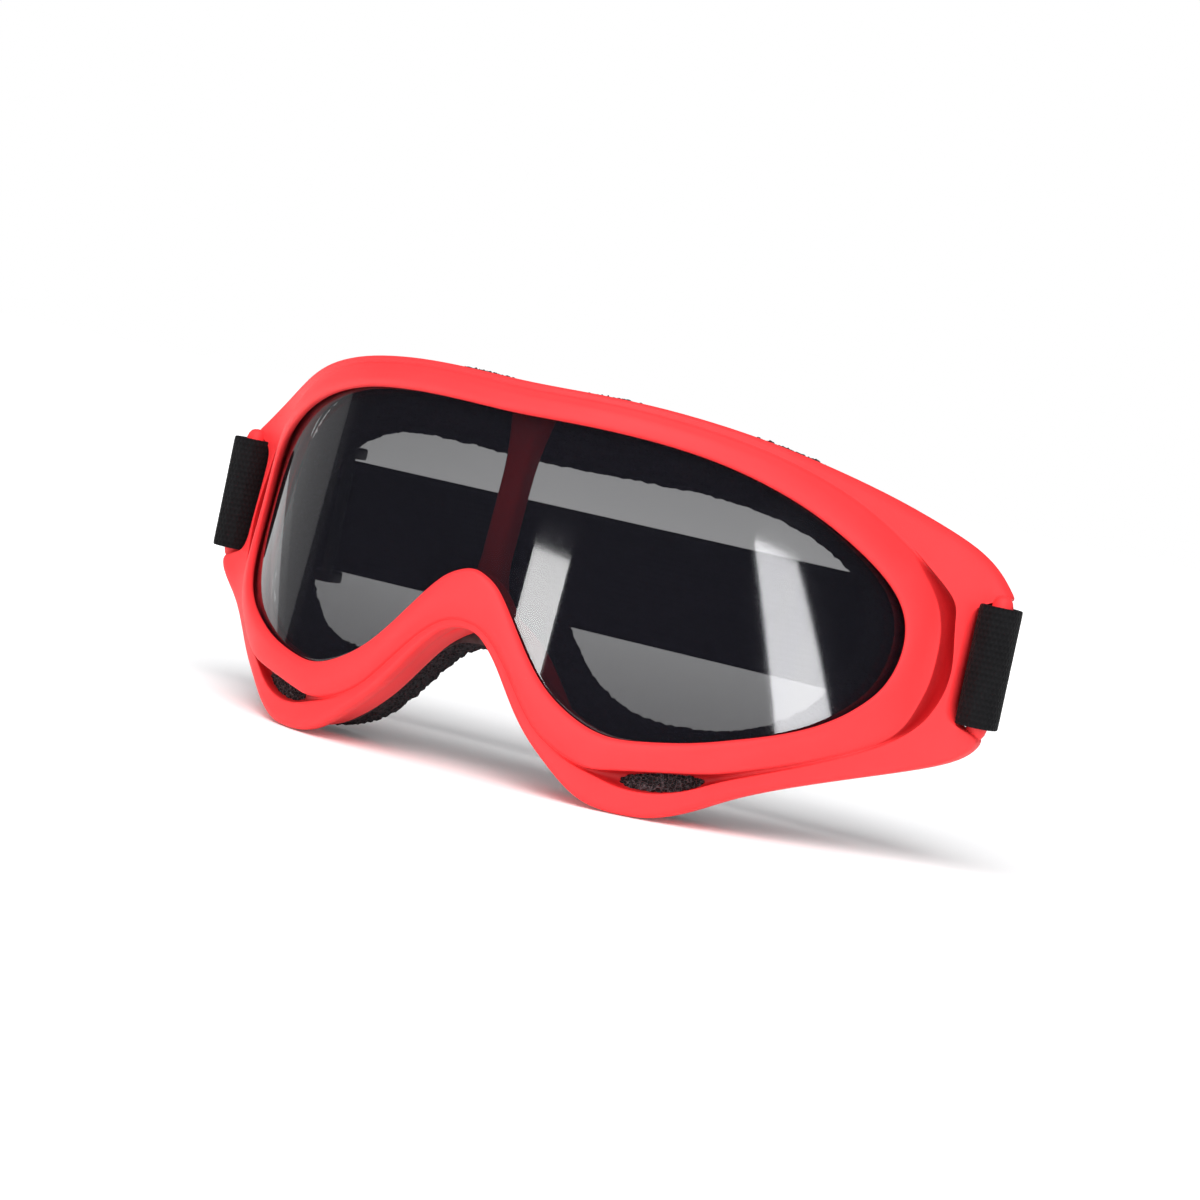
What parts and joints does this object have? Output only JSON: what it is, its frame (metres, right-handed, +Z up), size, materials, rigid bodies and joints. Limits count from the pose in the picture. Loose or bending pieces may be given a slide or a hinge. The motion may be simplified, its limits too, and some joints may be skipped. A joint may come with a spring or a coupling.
{
  "type": "motorcycle goggles",
  "caption": "Motorcycle goggles with a soft plastic frame, a single bent smoke lens, a face foam ring and an elastic strap with adjusters.",
  "frame": {"origin": "on the surface that the goggles stand on, under the centre of the bounding box", "axes": "+X to the right seen from the front, -Y out of the lens, +Z up"},
  "size_m": [0.1892, 0.0728, 0.0805],
  "materials": {
    "frame_red": "satin soft-touch red",
    "lens_smoke": "polished smoke tint",
    "face_foam": "black polyurethane foam",
    "vent_foam": "dark grey open-cell foam",
    "tape": "double-sided tape",
    "strap": "black woven elastic",
    "thread": "black polyester thread",
    "slider": "black moulded plastic"
  },
  "bodies": {
    "frame": {"frame": "frame_red", "lens": "lens_smoke", "foam_tape": "tape", "face_foam": "face_foam", "strap_loop_left": "strap", "strap_loop_right": "strap", "lower_vent_foam_left": "vent_foam", "lower_vent_foam_right": "vent_foam", "top_vent_foam_left": "vent_foam", "top_vent_foam_right": "vent_foam"},
    "strap": {"strap_band": "strap"},
    "slider_left": {"slider_left": "slider", "strap_end_left": "strap", "end_stitching_left": "thread"},
    "slider_right": {"slider_right": "slider", "strap_end_right": "strap", "end_stitching_right": "thread"}
  },
  "joints": [
    {"name": "strap_swing", "type": "hinge", "parent": "frame", "child": "strap", "pos_m": [0, 0.02355, 0.0425], "axis": [1, 0, 0], "range_deg": [-12, 12]},
    {"name": "slider_left_slide", "type": "slide", "parent": "strap", "child": "slider_left", "axis": [1, 0, 0], "range_m": [0, 0.02]},
    {"name": "slider_right_slide", "type": "slide", "parent": "strap", "child": "slider_right", "axis": [-1, 0, 0], "range_m": [0, 0.02]}
  ]
}
